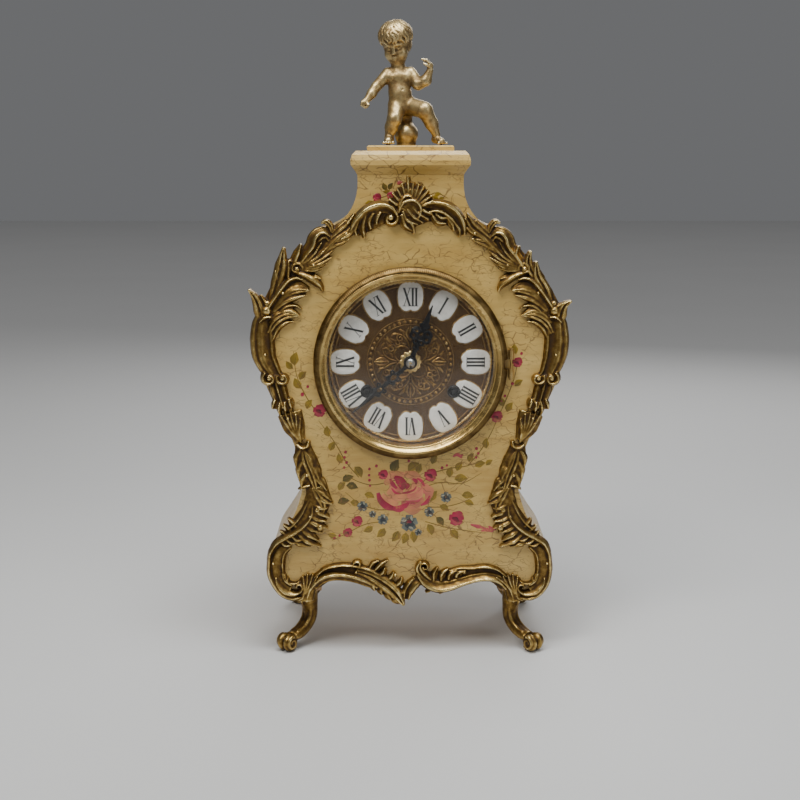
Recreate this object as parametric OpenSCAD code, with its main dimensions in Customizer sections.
// Waisted mantel clock: a lacquered wooden case with cast gilt mounts, a hinged glazed bezel,
// a plaque dial and an eight-day movement with a pendulum and a bell strike.
// The clock stands on z = 0, faces -Y and is centred on x = 0 and y = 0.

/* [Case] */
// Height of the shoulder where the hood sits on the side panels
shoulder_z = 274; // [272:1:276]
// Depth position of the front board's face
face_y = -47; // [-48:1:-46]
// Thickness of the front board
board_t = 8; // [6:1:8]
// Thickness of the bent side panels
side_t = 5; // [4:1:6]
// Thickness of the back frame
back_t = 6; // [5:1:6]

/* [Dial] */
// Height of the dial's centre
dial_z = 194; // [192:1:196]
// Radius of the hole in the front board
hole_r = 56; // [56:1:57]
// Outer radius of the bezel
bezel_r = 63; // [62:0.5:64]
// Radius of the circle of numeral plaques
plaque_ring_r = 42.5; // [42:0.5:43]
// Minute hand angle, clockwise from twelve
minute_angle = 229; // [0:1:359]
// Hour hand angle, clockwise from twelve
hour_angle = 21; // [0:1:359]

/* [Movement] */
// Distance of each winding arbor from the centre line
arbor_x = 28.5; // [28.5:0.5:30]
// Distance of the winding arbors below the dial's centre
arbor_drop = 19.5; // [19:0.5:20]
// Distance from the suspension to the rating nut's seat
pendulum_len = 128; // [120:1:132]
// Radius of the pendulum bob
bob_r = 13; // [10:1:14]
// Radius of the bell
bell_r = 27; // [24:1:28]

/* [Hidden] */
$fn = 48;

// Depth layers, front to back
board_back = face_y + board_t;
back_y = 41;
hood_back = back_y + back_t;
mount_face = face_y - 6;
dial_y = -40;
plate_t = 1.5;
fp_y = -31;
bp_y = 4.5;
cut = 0.25; // half the joint left between neighbouring mounts
run = 0.05; // running clearance of a shaft in its hole

// Gear tooth form: addendum, dedendum, root half width and tip half width, as shares
wheel_tooth = [0.8, 1.0, 0.25, 0.08];
leaf_tooth = [0.5, 1.2, 0.15, 0.12];

// Outline of the front board, right half, from the top centre round to the bottom centre
board_half = [[0, 291], [22, 288], [44, 279], [62, 266], [76, 249], [88.5, 231], [96.5, 212],
    [97.5, 194], [93.5, 178], [86, 162], [79, 147], [73, 130], [70.5, 117], [72.5, 105],
    [77.5, 91], [86, 77], [93, 66], [95, 55], [91, 45], [82, 39], [72, 38.5], [65, 43],
    [54, 48], [42, 50], [30, 49], [18, 46], [8, 44], [0, 44]];
// Line of the side panel's outer face, from the shoulder down to the lower scroll
side_line = [[63.3, shoulder_z], [64, 268], [67.5, 260], [76, 249], [88.5, 231], [96.5, 212],
    [97.5, 194], [93.5, 178], [86, 162], [79, 147], [73, 130], [70.5, 117], [72.5, 105],
    [77.5, 91], [86, 77], [93, 66], [95, 55], [91, 45], [82, 39], [72, 38.5]];
// Half profile of the hood, from its foot to the neck
hood_half = [[63.3, shoulder_z], [63.3, 276], [61.5, 277.8], [54, 279.8], [48.5, 282.5],
    [44, 286], [40, 290.5], [36.8, 296], [34.8, 302], [34, 309], [34.2, 315]];
// Half profile of the cap moulding, and of the pad on it
cap_half = [[34.2, 315], [35.4, 317], [38.2, 321], [38.4, 324], [37.4, 327.5], [35, 330]];
pad_half = [[28, 330], [28, 332.6], [27, 333.4]];
pad_top = 333.4;

// Positions of the movement's arbors in the plane of the plates
centre = [0, dial_z];
time_b = [arbor_x, dial_z - arbor_drop];
strike_b = [-arbor_x, dial_z - arbor_drop];
m_great = 0.7;
m_mid = 0.6;
m_fine = 0.34;
inter = meet(time_b, m_great * 40, centre, m_mid * 35, -1);
third = polar(centre, m_fine * 52, 120);
escape = [0, third[1] + sqrt(pow(m_fine * 46, 2) - pow(third[0], 2))];
pallet = escape + [0, 10];
m_pin = 0.5;
m_warn = 0.42;
pin_a = polar(strike_b, m_great * 40, 100);
warn_a = polar(pin_a, m_pin * 28, 75);
fly_a = polar(warn_a, m_warn * 28, 60);
hammer_a = [-45, 222];
m_motion = 0.5;
m_hour = 0.48;
minute_a = centre + [0, m_motion * 24];
bell_c = [-20, 190];

// Back door and hinge positions
door_w = 43.4;
door_z = [72.6, 255.4];
hinge_x = 46;
hinge_y = hood_back + 2.2;
hinge_zs = [95, 215];
bezel_hinge = [bezel_r + 2.2, face_y - 3.4];
catch_at = [-50, 164];
foot_top = 37.9;

// ---------- points and paths
function polar(c, r, a) = c + r * [cos(a), sin(a)];
function flip(v) = [for (q = v) [-q[0], q[1]]];
function back_to_front(v) = [for (i = [len(v) - 1:-1:0]) v[i]];
function whole(half) = concat(half, back_to_front(flip([for (q = half) if (q[0] > 0.01) q])));
function meet(a, ra, b, rb, side) =
    let (d = b - a, l = norm(d), x = (ra * ra - rb * rb + l * l) / (2 * l),
        h = sqrt(ra * ra - x * x), u = d / l)
    a + x * u + side * h * [-u[1], u[0]];
function curve_at(a, b, c, d, t) =
    0.5 * (2 * b + (c - a) * t + (2 * a - 5 * b + 4 * c - d) * t * t
    + (3 * b - a - 3 * c + d) * t * t * t);
function smooth(p, n) = concat([for (i = [0:len(p) - 2]) for (k = [0:n - 1])
    curve_at(p[max(i - 1, 0)], p[i], p[i + 1], p[min(i + 2, len(p) - 1)], k / n)],
    [p[len(p) - 1]]);
function side_step(p, i) =
    let (d = p[min(i + 1, len(p) - 1)] - p[max(i - 1, 0)]) [d[1], -d[0]] / norm(d);
function beside(p, w) = [for (i = [0:len(p) - 1]) p[i] + w * side_step(p, i)];
function tooth_phase(th, n1, n2, al) = al + 180 - (0.5 - (al - th) * n1 / 360) * 360 / n2;

// ---------- solids set up in the clock's upright plane
module slab(y0, y1) translate([0, y1, 0]) rotate([90, 0, 0]) linear_extrude(y1 - y0) children();
module rod(p, r, y0, y1) translate([p[0], y1, p[1]]) rotate([90, 0, 0]) cylinder(h = y1 - y0, r = r);
module turned(p, y) translate([p[0], y, p[1]]) rotate([90, 0, 0]) rotate_extrude() children();
module upper(z) translate([-200, -200, z]) cube([400, 400, 400]);
module lower(z) translate([-200, -200, z - 400]) cube([400, 400, 400]);
module round_rect(x0, x1, z0, z1, r) {
    translate([x0 + r, z0]) square([x1 - x0 - 2 * r, z1 - z0]);
    translate([x0, z0 + r]) square([x1 - x0, z1 - z0 - 2 * r]);
    for (x = [x0 + r, x1 - r]) for (z = [z0 + r, z1 - r]) translate([x, z]) circle(r);
}
module gear_outline(c, n, m, tooth, phase) translate(c) polygon([
    for (k = [0:n - 1]) for (e = [[-tooth[1], -tooth[2]], [tooth[0], -tooth[3]],
        [tooth[0], tooth[3]], [-tooth[1], tooth[2]]])
        polar([0, 0], m * (n / 2 + e[0]), (k + e[1]) * 360 / n + phase)]);
module wheel(c, n, m, y0, y1, phase, hub_r, spokes) difference() {
    slab(y0, y1) gear_outline(c, n, m, wheel_tooth, phase);
    for (k = [0:spokes - 1]) let (r = m * n / 2, mid = (r + hub_r) / 2 - m * 0.4)
        rod(polar(c, mid, k * 360 / spokes + 20),
            min((r - hub_r) / 2 - m * 1.9, mid * sin(180 / spokes) - 0.7), y0 - 1, y1 + 1);
}
module leaves(c, n, m, y0, y1, phase) slab(y0, y1) gear_outline(c, n, m, leaf_tooth, phase);
module pivots(c, r) {
    rod(c, r, fp_y + plate_t + 0.2, bp_y - 0.2);
    rod(c, 0.6, fp_y + 0.3, bp_y + plate_t - 0.3);
}

// ---------- wooden case
module front_panel() color("wheat") difference() {
    slab(face_y, board_back) polygon(whole(smooth(board_half, 3)));
    rod(centre, hole_r, face_y - 1, board_back + 1);
}
module side_panel(s) color("wheat") slab(board_back, back_y) let (line = smooth(side_line, 3))
    polygon([for (q = concat(line, back_to_front(beside(line, side_t)))) [s * q[0], q[1]]]);
module base_board() color("burlywood") {
    intersection() {
        slab(board_back, back_y) polygon(whole(beside(smooth(side_line, 3), side_t)));
        translate([-100, -100, 46]) cube([200, 200, 6]);
    }
    for (x = [-71.8, 59.8]) for (y = [board_back, back_y - 12])
        translate([x, y, foot_top]) cube([12, 12, 46 - foot_top]);
}
module hood() color("wheat") difference() {
    slab(board_back, hood_back) polygon(whole(smooth(hood_half, 2)));
    slab(board_back + 6, hood_back - 6) polygon(whole(concat([[57.3, shoulder_z - 9]],
        [for (i = [1:len(hood_half) - 2]) hood_half[i] - [6, 0]])));
}
module moulded(half) intersection() {
    slab(-60, 70) polygon(whole(half));
    translate([0, (board_back + hood_back) / 2, 0]) rotate([0, 0, 90]) slab(-60, 60)
        polygon(whole([for (q = half) [q[0] + 9, q[1]]]));
}
module cap_moulding() color("cornsilk") {
    moulded(cap_half);
    moulded(pad_half);
}
module back_panel() color("wheat") difference() {
    slab(back_y, hood_back) polygon(whole(concat(smooth(side_line, 3), [[72, 44]])));
    slab(back_y - 1, hood_back + 1) round_rect(-44.2, 44.2, door_z[0] - 0.8, door_z[1] + 0.8, 8.8);
}
module back_door() color("burlywood") difference() {
    slab(hood_back - 5, hood_back) round_rect(-door_w, door_w, door_z[0], door_z[1], 8);
    for (k = [0:7]) rod(polar([0, 185], 20, k * 45), 3, back_y, hood_back + 1);
    rod([0, 185], 5, back_y, hood_back + 1);
}

// ---------- hinges and catch at the back
module knuckle(z0, z1) translate([hinge_x, hinge_y, z0]) cylinder(h = z1 - z0, r = 2);
module pin_hole(z0, z1) translate([hinge_x, hinge_y, z0]) cylinder(h = z1 - z0, r = 1 + run);
module hinge_leaves_fixed() color("goldenrod") for (z = hinge_zs) difference() {
    union() {
        translate([hinge_x + 2.4, hood_back, z]) cube([11, 1, 18]);
        for (k = [0, 12.2]) {
            knuckle(z + k, z + k + 5.8);
            translate([hinge_x, hood_back + 0.2, z + k]) cube([4, 0.8, 5.8]);
        }
    }
    pin_hole(z - 1, z + 19);
}
module hinge_leaves_moving() color("goldenrod") for (z = hinge_zs) difference() {
    union() {
        translate([hinge_x - 13.4, hood_back, z]) cube([10.8, 1, 18]);
        knuckle(z + 6.1, z + 11.9);
        translate([hinge_x - 4, hood_back + 0.2, z + 6.1]) cube([4, 0.8, 5.8]);
    }
    pin_hole(z - 1, z + 19);
}
module hinge_pins() color("gold") {
    for (z = hinge_zs) translate([hinge_x, hinge_y, z - 0.8]) {
        cylinder(h = 19.6, r = 1);
        for (k = [-0.6, 19.6]) translate([0, 0, k]) cylinder(h = 0.6, r = 1.6);
    }
    translate([bezel_hinge[0], bezel_hinge[1], dial_z - 9.8]) {
        cylinder(h = 19.6, r = 0.8);
        for (k = [-0.6, 19.6]) translate([0, 0, k]) cylinder(h = 0.6, r = 1.4);
    }
    rod(catch_at, 1.5, hood_back, hood_back + 2.3);
    rod(catch_at, 2.6, hood_back + 2.3, hood_back + 3.1);
}
module door_catch() color("goldenrod") difference() {
    slab(hood_back + 0.3, hood_back + 2.1) {
        translate([catch_at[0] - 3.5, catch_at[1] - 8]) square([7, 16]);
        for (z = [-8, 8]) translate(catch_at + [0, z]) circle(3.5);
    }
    rod(catch_at, 1.5 + run, hood_back, hood_back + 3);
}

// ---------- cast mounts, as plain plates of the true outline
// Each list starts at the mount's upper end and runs down its outer edge and back up its inner edge
shoulder_edge = [[31, 297], [38, 295], [44, 287], [51, 283.5], [54, 286.5], [58, 284], [60, 274],
    [66, 264], [68, 262], [71, 270.5], [74.5, 263], [77, 266], [81, 269.5], [83.5, 260],
    [88, 258], [89.5, 246], [91, 239], [97, 233], [104, 241.5], [102.5, 232], [99, 226],
    [90, 224], [84, 227], [76, 222.5], [78, 231], [66, 237], [63, 247], [58, 255], [49, 262],
    [46, 270.5], [38, 271], [33, 274], [27, 280]];
side_edge = [[97, 230], [101, 219], [101.5, 208], [99.5, 193], [92, 178], [90.5, 164],
    [82, 153], [77, 141.5], [73, 127], [75, 119], [67, 107], [59, 103], [56, 110], [57, 117],
    [62, 126], [66, 137], [71, 152], [78, 163], [81, 168], [79, 180], [84, 184], [89.5, 192],
    [88, 209], [84, 222], [90, 228]];
corner_edge = [[67, 112], [72, 98], [83, 84], [94, 72.5], [98, 60], [95, 45], [86, 36.5],
    [74, 31.5], [65, 34], [65, 41], [72, 46], [80, 47.5], [86, 54], [86, 62], [81, 70],
    [71, 74.5], [63, 78], [60, 86], [55, 98], [58, 110]];
apron_edge = [[64.4, 50], [56, 55], [46, 59], [36, 60], [28, 59], [18, 60], [10, 63], [4, 66],
    [0, 60], [-8, 58], [-16, 57], [-28, 60], [-38, 60], [-48, 58], [-56, 54], [-64.4, 48],
    [-64.4, 40], [-56, 44.5], [-44, 47], [-32, 45], [-22, 40], [-13, 35], [-4, 30], [-1.5, 36],
    [0, 47], [6, 46], [13, 42], [24, 44], [34, 47], [46, 47.5], [56, 44], [64.4, 38]];
crest_edge = [[0, 314.5], [5, 311], [11, 308.5], [17, 303], [22, 299], [30.6, 297], [27, 284],
    [17, 282], [9, 279], [3, 273.5], [-3, 279], [-12, 281], [-20, 284], [-27, 282],
    [-30.6, 294], [-22, 299], [-16, 303], [-11, 308.5], [-5, 311]];
module mount_plate(edge) slab(mount_face, face_y) polygon(smooth(concat(edge, [edge[0]]), 2));
module crest_mount() color("peru") intersection() {
    mount_plate(crest_edge);
    translate([-30.5 + cut, -100, 260]) cube([61 - 2 * cut, 200, 80]);
}
module shoulder_mount(s) color("peru") scale_x(s) intersection() {
    mount_plate(shoulder_edge);
    translate([30.5 + cut, -100, 220]) cube([100, 200, 100]);
    upper(228 + cut);
}
module side_mount(s) color("peru") scale_x(s) intersection() {
    mount_plate(side_edge);
    lower(228 - cut);
    upper(110 + cut);
}
module corner_mount(s) color("peru") scale_x(s) intersection() {
    mount_plate(corner_edge);
    lower(110 - cut);
    union() {
        upper(62);
        translate([64.4 + cut, -100, 0]) cube([100, 200, 100]);
    }
}
module apron_mount() color("peru") intersection() {
    mount_plate(apron_edge);
    translate([-64.4, -100, 0]) cube([128.8, 200, 100]);
}
module scale_x(s) {
    if (s > 0) children();
    else mirror([1, 0, 0]) children();
}
module foot(s, f) scale_x(s) intersection() {
    union() {
        translate([70, f * 38, foot_top - 5]) cylinder(h = 5, r = 6.5);
        hull() {
            translate([70, f * 38, foot_top - 5.6]) sphere(5.5, $fn = 20);
            translate([69, f * 44, 22]) sphere(5.2, $fn = 20);
        }
        hull() {
            translate([69, f * 44, 22]) sphere(5.2, $fn = 20);
            translate([73, f * 51, 11]) sphere(4.8, $fn = 20);
        }
        hull() {
            translate([73, f * 51, 11]) sphere(4.8, $fn = 20);
            translate([83, f * 56.5, 5.4]) sphere(5.5, $fn = 20);
            translate([82.5, f * 56.5, 0]) cylinder(h = 1, r = 4, $fn = 20);
        }
    }
    upper(0);
}
module front_foot(s) color("goldenrod") foot(s, -1);
module back_feet() color("goldenrod") for (s = [-1, 1]) foot(s, 1);
pin_spots = [[0, 290], [41, 278], [62, 258], [82, 240], [94, 200], [80, 158], [68, 120],
    [66, 92], [91, 60], [70, 40], [36, 54], [10, 52]];
module mount_pins() color("gold") for (q = concat(pin_spots, flip([for (i = [1:11]) pin_spots[i]])))
    rod(q, 1.4, mount_face - 0.9, mount_face);

// ---------- figure on the pad
module limb(a, ra, b, rb) hull() {
    translate(a) sphere(ra, $fn = 16);
    translate(b) sphere(rb, $fn = 16);
}
module cherub_figure() color("darkgoldenrod") {
    translate([-2, 2, pad_top]) cylinder(h = 3, r = 6.5);
    limb([-2, 2, 341], 7.4, [-2, 2, 346], 6);
    limb([-6, 0, 360], 7.6, [-2, 0, 357], 7);
    limb([-6.5, 0, 363], 7.6, [-7.5, 0, 376], 7.4);
    limb([-7, -1, 380], 4.6, [-8.5, -2, 388], 4.6);
    limb([-9, -2, 399], 12.2, [-9, -1, 402.6], 12.2);
    limb([-15, -1, 381], 4, [-24, -3, 371.5], 3.4);
    limb([-24, -3, 371.5], 3.4, [-30.5, -6, 360.5], 3.2);
    limb([0, -1, 382], 4, [6.5, -3, 372.5], 3.6);
    limb([6.5, -3, 372.5], 3.6, [13, -6, 384], 2.6);
    limb([13, -6, 384], 2.6, [9, -8, 389], 2.4);
    limb([-9, -2, 359], 6, [-12, -9, 348], 4.6);
    limb([-12, -9, 348], 4.6, [-14, -8, pad_top + 3.8], 3.6);
    limb([0, -1, 358], 6, [12, -9, 357], 5);
    limb([12, -9, 357], 5, [17.5, -8, 341], 3);
    limb([17.5, -8, 341], 3, [20, -11, pad_top + 2.6], 2.4);
}

// ---------- dial, bezel and hands
module dial_ring() color("gold") {
    turned(centre, face_y) polygon([[hole_r - 1.9, -9.6], [hole_r - 0.2, -9.6],
        [hole_r - 0.2, 0], [60, 0], [60, 2], [hole_r - 1.9, 2]]);
    difference() {
        for (k = [-9, 3.2]) translate([bezel_hinge[0], bezel_hinge[1], dial_z + k]) {
            cylinder(h = 5.8, r = 1.7);
            translate([-7, 2.2, 0]) cube([8.5, 1.2, 5.8]);
            translate([-0.8, 0, 0]) cube([1.6, 3, 5.8]);
        }
        translate([bezel_hinge[0], bezel_hinge[1], dial_z - 12]) cylinder(h = 24, r = 0.8 + run);
    }
}
module dial_plate() color("sienna") {
    difference() {
        rod(centre, hole_r - 2.2, dial_y, dial_y + 1.5);
        rod(centre, 3.2, dial_y - 1, dial_y + 3);
        for (b = [time_b, strike_b]) rod(b, 3.6, dial_y - 1, dial_y + 3);
    }
    for (b = [time_b, strike_b]) difference() {
        rod(b, 4.6, dial_y - 0.6, dial_y);
        rod(b, 3.6, dial_y - 1, dial_y + 1);
    }
    for (x = [-38, 38]) for (z = [-28, 28]) rod([x, dial_z + z], 1.6, dial_y + 1.5, fp_y);
}
module numeral_plaques() color("white") difference() {
    for (k = [0:11]) slab(dial_y - 1.2, dial_y)
        translate([0, dial_z]) rotate(-30 * k) translate([0, plaque_ring_r]) plaque_outline();
    for (b = [time_b, strike_b]) rod(b, 4.8, dial_y - 2, dial_y + 1);
}
module plaque_outline() {
    for (x = [-2.6, 2.6]) translate([x, 5.4]) circle(4.2);
    for (x = [-4.1, 4.1]) translate([x, 1]) circle(4.6);
    for (x = [-2.4, 2.4]) translate([x, -5.6]) circle(3.9);
    translate([-5, -5]) square([10, 10]);
}
module bezel_ring() color("gold") difference() {
    union() {
        turned(centre, face_y - 2.3) polygon([[54.4, 0], [bezel_r, 0], [bezel_r, 1.2],
            [bezel_r - 1.2, 3.4], [bezel_r - 4.4, 5.2], [bezel_r - 6.4, 5], [54.4, 3.6]]);
        translate([bezel_hinge[0], bezel_hinge[1], dial_z - 2.9]) cylinder(h = 5.8, r = 1.7);
        translate([bezel_hinge[0] - 4, bezel_hinge[1] - 0.7, dial_z - 2.9]) cube([4, 1.4, 5.8]);
        translate([-bezel_r - 2.5, face_y - 4, dial_z - 3]) cube([5, 1.7, 6]);
    }
    turned(centre, face_y - 2.3) polygon([[0, -1], [56.6, -1], [56.6, 2.6], [0, 2.6]]);
    translate([bezel_hinge[0], bezel_hinge[1], dial_z - 12]) cylinder(h = 24, r = 0.8 + run);
}
glass_r = 250; // radius of the domed glass
module bezel_glass() color([0.8, 0.85, 0.85, 0.3]) turned(centre, face_y - 2.3) polygon(concat(
    [for (r = glass_rings) [r, 1.3 + glass_rise(r)]],
    [for (r = back_to_front(glass_rings)) [r, 2.5 + glass_rise(r)]]));
glass_rings = [0, 6, 12, 18, 24, 30, 36, 42, 48, 54, 56];
function glass_rise(r) = sqrt(pow(glass_r, 2) - pow(min(r, 54), 2)) - sqrt(pow(glass_r, 2) - 54 * 54);
module glass_retainer() color("gold") turned(centre, face_y - 2.3) polygon(
    [[54.6, 0.1], [56.4, 0.1], [56.4, 1.2], [54.6, 1.2]]);
module hand(a, y) translate([0, y, dial_z]) rotate([0, a, 0]) rotate([90, 0, 0])
    linear_extrude(0.8) children();
module pierced(y, outer, inner) translate([0, y]) difference() {
    circle(outer);
    circle(inner);
}
module hour_hand() color("black") hand(hour_angle, -43.6) {
    pierced(0, 4.6, 2.7 + run);
    translate([-1, 4]) square([2, 12]);
    for (q = [[-4, 17], [4, 17], [0, 21.5]]) translate(q) difference() {
        circle(3.4);
        circle(1.5);
    }
    polygon([[-2, 14], [2, 14], [1.3, 25], [0.9, 33], [0.2, 39.5], [-0.2, 39.5], [-0.9, 33],
        [-1.3, 25]]);
}
module minute_hand() color("black") hand(minute_angle, -45.8) {
    pierced(0, 4, 1.8 + run);
    translate([-0.9, 3.5]) square([1.8, 9]);
    for (y = [12, 18]) pierced(y, 3 - y / 30, 1.2);
    translate([-0.8, 14]) square([1.6, 2.4]);
    pierced(27, 3.6, 1.8);
    translate([-0.8, 20]) square([1.6, 4.6]);
    polygon([[-1.5, 29.6], [1.5, 29.6], [0.9, 38], [0.2, 49.5], [-0.2, 49.5], [-0.9, 38]]);
}
module hand_nut() color("dimgray") difference() {
    turned(centre, -46.7) polygon([[0, 0], [2.9, 0], [2.9, 0.6], [2, 1.5], [0, 1.5]]);
    rod(centre, 1 + run, -50, -46);
}
module cannon_pinion() color("gold") difference() {
    union() {
        leaves(centre, 12, m_motion, -34, -32, tooth_phase(0, 36, 12, 270));
        rod(centre, 1.8, -46.6, -34);
    }
    rod(centre, 1 + run, -50, -30);
}
module minute_wheel() color("gold") difference() {
    union() {
        wheel(minute_a, 36, m_motion, -33.8, -32.4, 0, 3, 4);
        leaves(minute_a, 10, m_hour, -37.8, -33.8, 0);
    }
    rod(minute_a, 1 + run, -40, -30);
}
module hour_wheel() color("gold") difference() {
    union() {
        wheel(centre, 40, m_hour, -37.4, -36.4, tooth_phase(0, 10, 40, 270), 4, 0);
        rod(centre, 2.7, -44.4, -37.4);
    }
    rod(centre, 1.8 + run, -50, -30);
}

// ---------- movement frame
pillar_at = [for (s = [-1, 1]) for (q = [[46, 149.5], [44, 237]]) [s * q[0], q[1]]];
time_pivots = [inter, third, escape];
strike_pivots = [pin_a, warn_a, fly_a];
module plate(y0) difference() {
    slab(y0, y0 + plate_t) round_rect(-51, 51, 144.5, 242, 5);
    for (p = concat(time_pivots, strike_pivots)) rod(p, 0.6 + run, y0 - 1, y0 + 3);
    for (p = pillar_at) rod(p, 1.5 + run, y0 - 1, y0 + 3);
    for (b = [time_b, strike_b]) rod(b, 2.5 + run, y0 - 1, y0 + 3);
    children();
}
module front_plate() color("darkkhaki") {
    plate(fp_y) {
        rod(centre, 1 + run, fp_y - 1, fp_y + 3);
        for (p = [pallet, hammer_a]) rod(p, 0.6 + run, fp_y - 1, fp_y + 3);
    }
    rod(minute_a, 1, -38.2, fp_y);
    for (s = [-1, 1]) rod([s * click_at[0], click_at[1]], 1, -34, fp_y);
}
module back_plate() color("darkkhaki") plate(bp_y) {
    rod(centre, 0.6 + run, bp_y - 1, bp_y + 3);
    rod(pallet, 1 + run, bp_y - 1, bp_y + 3);
    rod(hammer_a, 1.2 + run, bp_y - 1, bp_y + 3);
}
module plate_pillars() color("gold") for (p = pillar_at) {
    rod(p, 3, fp_y + plate_t, bp_y);
    rod(p, 1.5, fp_y - 2, fp_y + plate_t);
    rod(p, 1.5, bp_y, bp_y + plate_t + 2);
    for (y = [fp_y - 1.6, bp_y + plate_t]) difference() {
        translate([p[0], y + 1.6, p[1]]) rotate([90, 0, 0]) cylinder(h = 1.6, r = 3, $fn = 6);
        rod(p, 1.5 + run, y - 1, y + 3);
    }
}
module movement_brackets() color("silver") for (s = [-1, 1]) scale_x(s) {
    translate([0, 0, dial_z - 7]) linear_extrude(14) polygon([[44, fp_y], [44, fp_y - 1.2],
        [58, fp_y - 1.2], [58, board_back], [70, board_back], [70, board_back + 1.2],
        [59.2, board_back + 1.2], [59.2, fp_y]]);
}

// ---------- going train
inter_th = tooth_phase(0, 70, 10, angle_of(time_b, inter));
module centre_arbor() color("goldenrod") {
    rod(centre, 1, -48.6, bp_y - 0.2);
    rod(centre, 0.6, bp_y - 0.2, bp_y + plate_t - 0.3);
    leaves(centre, 10, m_mid, -26.6, -23.4, tooth_phase(0, 60, 10, angle_of(inter, centre)));
    wheel(centre, 96, m_fine, -28.6, -27.4, 0, 3.4, 5);
}
function angle_of(a, b) = atan2(b[1] - a[1], b[0] - a[0]);
module intermediate_wheel() color("goldenrod") {
    pivots(inter, 1);
    leaves(inter, 10, m_great, -0.6, 3, inter_th);
    wheel(inter, 60, m_mid, -25.6, -24.4, 0, 3.4, 5);
}
module third_wheel() color("goldenrod") {
    pivots(third, 0.9);
    leaves(third, 8, m_fine, -29, -26.8, tooth_phase(0, 96, 8, 120));
    wheel(third, 84, m_fine, -12, -10.8, 0, 3, 5);
}
module escape_wheel() color("goldenrod") {
    pivots(escape, 0.8);
    leaves(escape, 8, m_fine, -13.5, -9.5, tooth_phase(0, 84, 8, angle_of(third, escape)));
    difference() {
        slab(-1.5, -0.5) translate(escape) polygon([for (k = [0:41]) for (e = [[6.7, 0], [8, 2.6],
            [8, 3.2], [6.7, 4]]) polar([0, 0], e[0], k * 360 / 42 + e[1])]);
        for (k = [0:3]) rod(polar(escape, 4.2, k * 90), 1.5, -3, 1);
    }
}
pallet_half = [[0, 34], [4, 33], [7.6, 30.4], [7, 28.4], [6, 28.8], [5.6, 30], [3, 31.2], [0, 31.4]];
module pallets() color("silver") {
    rod(pallet, 0.9, fp_y + plate_t + 0.2, bp_y - 0.2);
    rod(pallet, 0.6, fp_y + 0.3, fp_y + plate_t + 0.2);
    rod(pallet, 1, bp_y - 0.2, 9.4);
    slab(-2, 0) translate([0, pallet[1] - 32]) polygon(concat(pallet_half,
        flip([for (i = [6:-1:1]) pallet_half[i]])));
    slab(8, 9.4) translate([-1.6, pallet[1] - 28]) square([3.2, 28]);
    for (s = [-1, 1]) translate([s * 1.9 - 0.5, 9.4, pallet[1] - 28]) cube([1, 7, 3]);
}
module pendulum() color("gold") {
    translate([-1.4, 13.8, pallet[1] - 10]) cube([2.8, 0.4, 14.4]);
    translate([0, 14, pallet[1] - pendulum_len]) cylinder(h = pendulum_len - 10, r = 0.9);
    difference() {
        turned([0, pallet[1] - pendulum_len + 7 + bob_r], 14) polygon([[0, -2.8], [bob_r - 3, -2.8],
            [bob_r, -0.6], [bob_r, 0.6], [bob_r - 3, 2.8], [0, 2.8]]);
        translate([0, 14, 80]) cylinder(h = 80, r = 0.9);
    }
    difference() {
        translate([0, 14, pallet[1] - pendulum_len + 3]) cylinder(h = 3, r = 2.6);
        translate([0, 14, 80]) cylinder(h = 80, r = 0.9);
    }
}
module pendulum_cock() color("darkkhaki") {
    translate([-9, bp_y + plate_t, pallet[1] + 3]) cube([18, 2, 6.5]);
    difference() {
        translate([-4, bp_y + plate_t + 2, pallet[1] + 3]) cube([8, 9.5, 5]);
        translate([-1.9, 13.4, pallet[1]]) cube([3.8, 1.2, 4.8]);
    }
}
module barrel(c) difference() {
    union() {
        rod(c, 21, -22, 0);
        slab(0, 2.4) gear_outline(c, 70, m_great, wheel_tooth, 0);
    }
    rod(c, 19.8, -20.6, -1.2);
    rod(c, 2.5 + run, -30, 3);
}
module time_barrel() color("gold") barrel(time_b);
module strike_barrel() color("gold") barrel(strike_b);
module winding_arbor(c) color("silver") {
    rod(c, 2.5, -32, bp_y + plate_t + 0.6);
    slab(-33.6, -32.2) translate(c) polygon([for (k = [0:17]) for (e = [[6.6, 0], [8, 16]])
        polar([0, 0], e[0], k * 20 + e[1])]);
    rod(c, 2.4, -38, -32);
    translate([c[0] - 1.7, -41.8, c[1] - 1.7]) cube([3.4, 4, 3.4]);
}
click_at = [41.5, 180.5];
module click() color("silver") difference() {
    slab(-33.6, -32.2) polygon([[43.6, 181.6], [41, 183.2], [37.6, 180.6], [36.4, 178.9],
        [38, 178.8], [40.4, 178.6], [43.2, 179]]);
    rod(click_at, 1 + run, -36, -30);
}
module mainsprings() color("slategray") for (c = [time_b, strike_b]) slab(-19.6, -2)
    translate(c) polygon(concat([for (k = [0:12:2880]) polar([0, 0], 3.7 + k * 0.0052, k)],
        [for (k = [2880:-12:0]) polar([0, 0], 3.1 + k * 0.0052, k)]));

// ---------- strike
module strike_pin_wheel() color("goldenrod") {
    pivots(pin_a, 1);
    leaves(pin_a, 10, m_great, -0.6, 3, tooth_phase(0, 70, 10, 100));
    wheel(pin_a, 48, m_pin, -25.6, -24.4, 0, 3, 0);
    for (k = [0:7]) rod(polar(pin_a, 8.6, k * 45), 0.5, -24.4, -22.7);
}
module strike_warning_wheel() color("goldenrod") {
    pivots(warn_a, 0.9);
    leaves(warn_a, 8, m_pin, -26.4, -23.6, tooth_phase(0, 48, 8, 75));
    wheel(warn_a, 48, m_warn, -20, -18.8, 0, 2.6, 4);
}
module fly() color("gold") {
    pivots(fly_a, 0.9);
    leaves(fly_a, 8, m_warn, -21, -17.8, tooth_phase(0, 48, 8, 60));
    translate([fly_a[0], 0, fly_a[1]]) rotate([0, 35, 0]) translate([-8, -8, -0.3])
        cube([16, 9, 0.6]);
}
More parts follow.
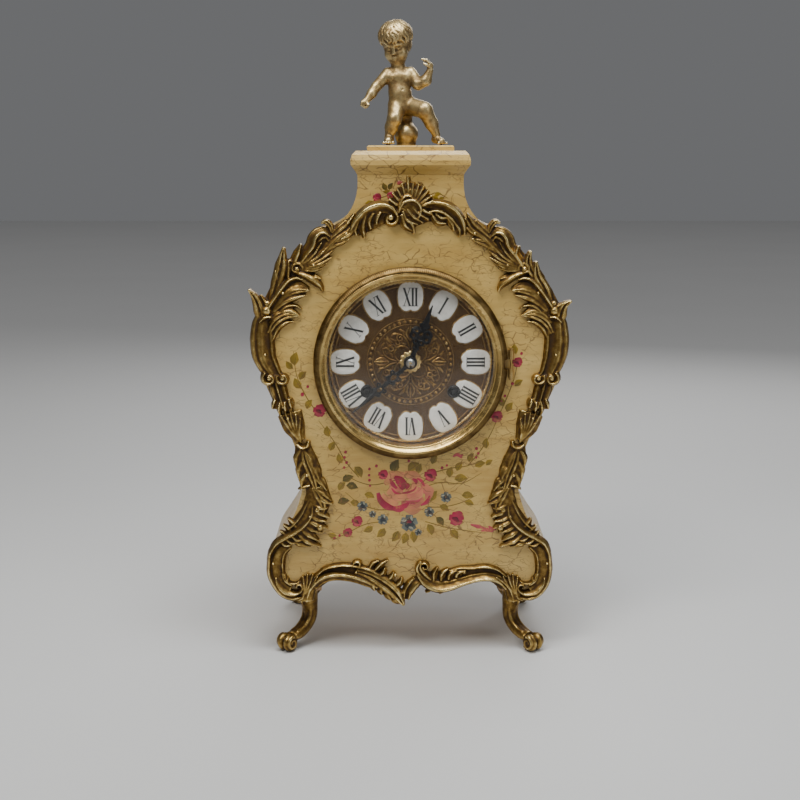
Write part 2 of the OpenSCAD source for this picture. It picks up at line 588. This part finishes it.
module hammer() color("silver") {
    rod(hammer_a, 1.2, fp_y + plate_t + 0.2, 27);
    rod(hammer_a, 0.6, fp_y + 0.3, fp_y + plate_t + 0.2);
    slab(25, 26.6) polygon([[-46.6, 222], [-43.4, 222], [-51, 192], [-54, 192]]);
    rod([-52.6, 190], 4, 21.5, 28);
    slab(-24.2, -22.9) polygon([[-46.4, 223], [-43.6, 223], [-40.6, 212.6], [-42.2, 212.4]]);
}
module bell() color("gainsboro") {
    difference() {
        turned(bell_c, 20) polygon([[bell_r, 0], [bell_r - 0.6, -5], [bell_r - 3, -10],
            [bell_r - 8, -14], [bell_r - 15, -16], [0, -16.4], [0, -14.6], [bell_r - 15.5, -14.2],
            [bell_r - 9, -12.2], [bell_r - 4.6, -8.8], [bell_r - 2.4, -4.4], [bell_r - 1.8, 0]]);
        rod(bell_c, 1.5 + run, 30, 40);
    }
    rod(bell_c, 2.4, bp_y + plate_t, 34.5);
    rod(bell_c, 1.5, 34.5, 38.4);
    difference() {
        translate([bell_c[0], 38.2, bell_c[1]]) rotate([90, 0, 0]) cylinder(h = 1.7, r = 3, $fn = 6);
        rod(bell_c, 1.5 + run, 30, 40);
    }
}

front_panel();
side_panel(-1);  // side_panel_left
side_panel(1);  // side_panel_right
base_board();
hood();
cap_moulding();
back_panel();
back_door();
hinge_leaves_fixed();
hinge_leaves_moving();
hinge_pins();
door_catch();
crest_mount();
shoulder_mount(-1);  // shoulder_mount_left
shoulder_mount(1);  // shoulder_mount_right
side_mount(-1);  // side_mount_left
side_mount(1);  // side_mount_right
corner_mount(-1);  // corner_mount_left
corner_mount(1);  // corner_mount_right
apron_mount();
front_foot(-1);  // front_foot_left
front_foot(1);  // front_foot_right
back_feet();
mount_pins();
cherub_figure();
dial_ring();
dial_plate();
numeral_plaques();
bezel_ring();
bezel_glass();
glass_retainer();
minute_hand();
hour_hand();
hand_nut();
cannon_pinion();
minute_wheel();
hour_wheel();
front_plate();
back_plate();
plate_pillars();
movement_brackets();
centre_arbor();
intermediate_wheel();
third_wheel();
escape_wheel();
pallets();
pendulum();
pendulum_cock();
time_barrel();
winding_arbor(time_b);  // time_winding_arbor
click();  // time_click
strike_barrel();
winding_arbor(strike_b);  // strike_winding_arbor
scale_x(-1) click();  // strike_click
strike_pin_wheel();
strike_warning_wheel();
fly();
hammer();
bell();
mainsprings();
